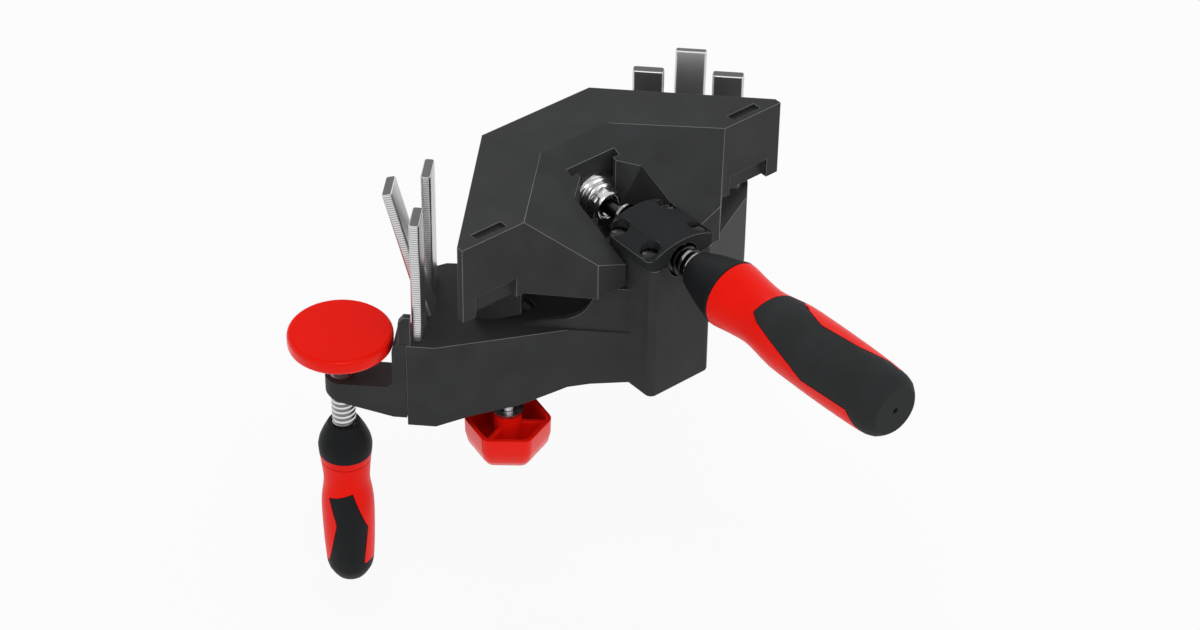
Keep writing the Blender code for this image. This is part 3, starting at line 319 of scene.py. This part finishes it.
def cut_teeth(bm, along):
    """Fine teeth across both narrow sides of a bar, with shade on their lower slopes."""
    ends = sorted((f for f in bm.faces if abs(f.normal.z) > 0.9), key=lambda f: f.normal.z)
    foot, head = (end.calc_center_median() for end in ends)
    axis = (head - foot).normalized()
    count = 2 * round((head - foot).length / TOOTH_PITCH)
    step = (head - foot).length / count
    lengthwise = [e for e in bm.edges if e.calc_length() > 20 * TOOTH_PITCH]
    bmesh.ops.subdivide_edges(bm, edges=lengthwise, cuts=count - 1, use_grid_fill=True)
    for vert in bm.verts:
        aside = (vert.co - foot).dot(along)
        ring = round((vert.co - foot).dot(axis) / step)
        if abs(aside) > HALF_BAR - TOOTH_DEPTH - NEAR and ring % 2:
            vert.co -= along * math.copysign(TOOTH_DEPTH, aside)
    bm.normal_update()
    for face in bm.faces:
        if -0.8 < face.normal.dot(axis) < -0.2:
            face.material_index = 2
    return ends


for hand, side in (("left", -1), ("right", 1)):
    for spot in ("front", "middle", "rear"):
        node = f"{hand}_{spot}_bar"
        bm = solid_of(node)
        ends = cut_teeth(bm, Vector((-side, 1, 0)).normalized())
        for end in ends:
            end.material_index = 1
        rims = [edge for end in ends for edge in end.edges]
        bmesh.ops.bevel(bm, geom=rims, offset=RIM, offset_type="OFFSET", affect="EDGES",
                        segments=1, profile=0.5, material=0, clamp_overlap=True)
        piece(f"{node}_steel", bm, [bar_zinc, sawn_end, tooth_shade], "base", "zinc_steel", node)

# The jaw is a second black moulding, a ribbed roof with sloping hips over two guide rails.
# Shoulder screws with washers hold it down through the slots in the arms.
bm = solid_of("roof_jaw")
# The jaw's broken edges take the painted highlight.
break_edges(bm, EDGE, 1)
piece("jaw_moulding", bm, [black_moulding, painted_edge_highlight], "roof", "black_plastic", "roof_jaw")
for hand in ("left", "right"):
    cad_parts[f"runner_screw_{hand}"].data.materials[0] = zinc
    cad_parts[f"runner_washer_{hand}"].data.materials[0] = zinc

# The main spindle is black steel with a coarse thread. Its neck turns in a bright swivel bush
# that sits in the jaw's T-slot, and a ring keeps the neck there.
SPINDLE_HEIGHT, SPINDLE_RADIUS, SPINDLE_PITCH = 94 * MM, 7.75 * MM, 4 * MM
SPINDLE_LOW, SPINDLE_HIGH, SPINDLE_DEPTH = -89 * MM, 1 * MM, 1.7 * MM
HEXAGON_RADIUS, HEXAGON_LENGTH, HEXAGON_MIDDLE = 9 * MM, 3.6 * MM, 16.6 * MM
HEXAGON_EDGE = 0.6 * MM


def threaded_bar(radius, depth, pitch, low, high, turn_steps=40):
    """Round bar along Z with a trapezoidal thread; its crests have the second finish."""
    bm = bmesh.new()
    valley = radius - depth
    outline = [(valley, 0.0), (valley, 0.22), (radius, 0.42), (radius, 0.8)]  # parts of a pitch
    count = int((high - low) / pitch) + 3
    verts = [bm.verts.new((r, 0, low - 2 * pitch + (turn + part) * pitch))
             for turn in range(count) for r, part in outline]
    edges = [bm.edges.new(pair) for pair in zip(verts, verts[1:])]
    bmesh.ops.spin(bm, geom=verts + edges, axis=(0, 0, 1), cent=(0, 0, 0),
                   dvec=(0, 0, pitch / turn_steps), angle=2 * math.pi, steps=turn_steps,
                   use_merge=False)
    bmesh.ops.remove_doubles(bm, verts=bm.verts, dist=0.01 * MM)
    for height, side in ((low, -1), (high, 1)):
        sliced = bmesh.ops.bisect_plane(bm, geom=bm.verts[:] + bm.edges[:] + bm.faces[:],
                                        dist=1e-7, plane_co=(0, 0, height),
                                        plane_no=(0, 0, side), clear_outer=True)
        rim = [e for e in sliced["geom_cut"] if isinstance(e, bmesh.types.BMEdge)]
        bmesh.ops.contextual_create(bm, geom=rim)
    bmesh.ops.recalc_face_normals(bm, faces=bm.faces)
    for face in bm.faces:
        if min(v.co.xy.length for v in face.verts) > radius - 0.1 * depth:
            face.material_index = 1
    return bm


def add_turned(bm, outline, steps):
    """Turn an outline about Z, given as radius and height in mm; off the axis it is closed."""
    before = set(bm.verts)
    verts = [bm.verts.new((radius * MM, 0, height * MM)) for radius, height in outline]
    pairs = list(zip(verts, verts[1:])) + ([(verts[-1], verts[0])] if outline[0][0] else [])
    edges = [bm.edges.new(pair) for pair in pairs]
    bmesh.ops.spin(bm, geom=verts + edges, axis=(0, 0, 1), cent=(0, 0, 0), angle=2 * math.pi,
                   steps=steps, use_merge=True)
    made = [v for v in bm.verts if v not in before]
    bmesh.ops.remove_doubles(bm, verts=made, dist=0.005 * MM)
    bmesh.ops.recalc_face_normals(bm, faces=bm.faces)


lying = Matrix.Translation((0, 0, SPINDLE_HEIGHT)) @ Matrix.Rotation(-math.pi / 2, 4, "X")
bm = threaded_bar(SPINDLE_RADIUS, SPINDLE_DEPTH, SPINDLE_PITCH, SPINDLE_LOW, SPINDLE_HIGH)
add_turned(bm, [(0, 0.8), (5.6, 0.8), (4.9, 2.4), (4.9, 5), (3.9, 5.6), (3.9, 17), (4.9, 17.5),
                (4.9, 21), (4, 21), (4, 22.8), (4.9, 22.8), (4.9, 26.2), (4.2, 26.9),
                (0, 26.9)], 32)
bm.transform(lying)
# The lighter crests are partly wear on the black steel and partly a painted glint along the
# turns.
crest_wear_and_glint = metal("crest_wear_and_glint", (0.42, 0.41, 0.40), 0.16)
piece("main_screw", bm, [black_steel, crest_wear_and_glint], "main_spindle", "dark_steel", "main_spindle")

bm = bmesh.new()
add_turned(bm, [(5.2, 20.8), (5.2, 17.5), (5.9, 17), (5.9, 13.4), (6.4, 12.5), (7.1, 12.3),
                (7.6, 12.9), (7.9, 13.8), (7.9, 18.2), (9.2, 18.8), (9.6, 19.4), (9.6, 20.8),
                (9.1, 21.3), (9.1, 21.8), (10.4, 22.3), (10.8, 22.9), (10.8, 23.8), (13, 23.8),
                (13, 27.2), (7.2, 27.2), (7.2, 20.8)], 56)
hexagon = bmesh.ops.create_cone(bm, cap_ends=True, segments=6, radius1=HEXAGON_RADIUS,
                                radius2=HEXAGON_RADIUS, depth=HEXAGON_LENGTH,
                                matrix=Matrix.Translation((0, 0, HEXAGON_MIDDLE)))
rims = [e for e in bm.edges if all(v in hexagon["verts"] for v in e.verts)]
bmesh.ops.bevel(bm, geom=rims, offset=HEXAGON_EDGE, offset_type="OFFSET", affect="EDGES",
                segments=2, profile=0.5, material=-1, clamp_overlap=True)
bm.transform(lying)
piece("swivel_bush_steel", bm, [zinc], "roof", "zinc_steel", "swivel_bush")
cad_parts["swivel_ring"].data.materials[0] = zinc

# The big handle is hard red plastic on the spindle's end, with a soft black collar, grip
# panels and end cap let into it. The small handle is made the same way, with the lowest
# RED_BAND of its collar in red, because the soft part ends higher in the photo.
RED, RED_SHEEN = (0.80, 0.008, 0.003), (1, 0.25, 0.2)
soft_black = grained_plastic("soft_black", (0.022, 0.023, 0.024), 0.62, 0.35 * MM, 0.3)
deep_black = grained_plastic("deep_black", (0.009, 0.010, 0.011), 0.5, 0.35 * MM, 0.2)
red_plastic = grained_plastic("red_plastic", RED, 0.38, 0.8 * MM, 0.08, 0.04, 0.15, RED_SHEEN)
SEAM, RED_BAND = 0.3 * MM, 4.3 * MM


def dress_handle(kind, body, grip_finish):
    """Copies of a handle's red core and its soft pieces, with their seams broken."""
    for node, part, finish, slot in (
            (f"{kind}_handle", "core", red_plastic, "red_plastic"),
            (f"{kind}_handle_collar", "rubber", deep_black, "soft_black"),
            (f"{kind}_handle_grip", "rubber", grip_finish, "soft_black")):
        bm = solid_of(node)
        break_edges(bm, SEAM, -1, 3, 40)
        if node == "table_handle_collar":
            seam = min(vert.co.z for vert in bm.verts) + RED_BAND
            bmesh.ops.bisect_plane(bm, geom=bm.verts[:] + bm.edges[:] + bm.faces[:], dist=1e-7,
                                   plane_co=(0, 0, seam), plane_no=(0, 0, 1))
            for face in bm.faces:
                if face.calc_center_median().z < seam:
                    face.material_index = 1
        piece(f"{node}_{part}", bm, [finish, red_plastic], body, slot, node)


dress_handle("main", "main_spindle", soft_black)

# The bracket is a black moulding. Its bar runs under the left arm to the knob and its tongue
# carries the small spindle.
bm = solid_of("table_bracket")
# The bracket's broken edges take the painted highlight.
break_edges(bm, EDGE, 1)
piece("bracket_moulding", bm, [black_moulding, painted_edge_highlight], "base", "black_plastic",
      "table_bracket")

# The small spindle is zinc plated with a finer thread. A ring holds the round red pad on its
# top end, and the small handle sits on its lower end.
TABLE_X, TABLE_Y, TABLE_LOW, TABLE_HIGH = -127.35 * MM, 63.71 * MM, -39 * MM, 33 * MM
TABLE_RADIUS, TABLE_PITCH, TABLE_DEPTH = 6 * MM, 3 * MM, 1.2 * MM
# Darker zinc for the small screw everywhere but its crests; between the turns of the thread it is
# painted shade.
darker_zinc_thread_shade = metal("darker_zinc_thread_shade", (0.50, 0.50, 0.51), 0.32)
bm = threaded_bar(TABLE_RADIUS, TABLE_DEPTH, TABLE_PITCH, TABLE_LOW, TABLE_HIGH)
add_turned(bm, [(0, 32.6), (5, 32.6), (4.2, 34.2), (4.2, 36.2), (3.4, 36.2), (3.4, 37.8),
                (4.2, 37.8), (5.2, 39.5), (5.2, 42.4), (3.6, 44), (0, 44)], 32)
bm.transform(Matrix.Translation((TABLE_X, TABLE_Y, 0)))
piece("table_screw", bm, [darker_zinc_thread_shade, zinc], "table_spindle", "zinc_steel", "table_spindle")
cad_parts["pad_ring"].data.materials[0] = zinc
satin_red = grained_plastic("satin_red", RED, 0.45, 1.2 * MM, 0.05, 0.03, 0.04, RED_SHEEN)
glossy_red = grained_plastic("glossy_red", RED, 0.22, 1.5 * MM, 0.05, 0.03, 0.4, RED_SHEEN)
bm = solid_of("table_pad")
for face in bm.faces:
    if abs(face.normal.z) < 0.9:
        face.material_index = 1
piece("pad_disc", bm, [satin_red, glossy_red], "pad", "red_plastic", "table_pad")
dress_handle("table", "table_spindle", deep_black)

# The lock knob is a glossy red bowl with a ribbed hub on a bright stud. Its washer bears on
# the bracket's bar, and the stud screws into a nut caught in the arm.
KNOB_EDGE = 0.35 * MM
bm = solid_of("lock_knob")
break_edges(bm, KNOB_EDGE, -1, 3, 40)
piece("knob_bowl", bm, [glossy_red], "knob", "red_plastic", "lock_knob")
for node in ("knob_stud", "knob_washer", "clamp_nut"):
    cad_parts[node].data.materials[0] = zinc
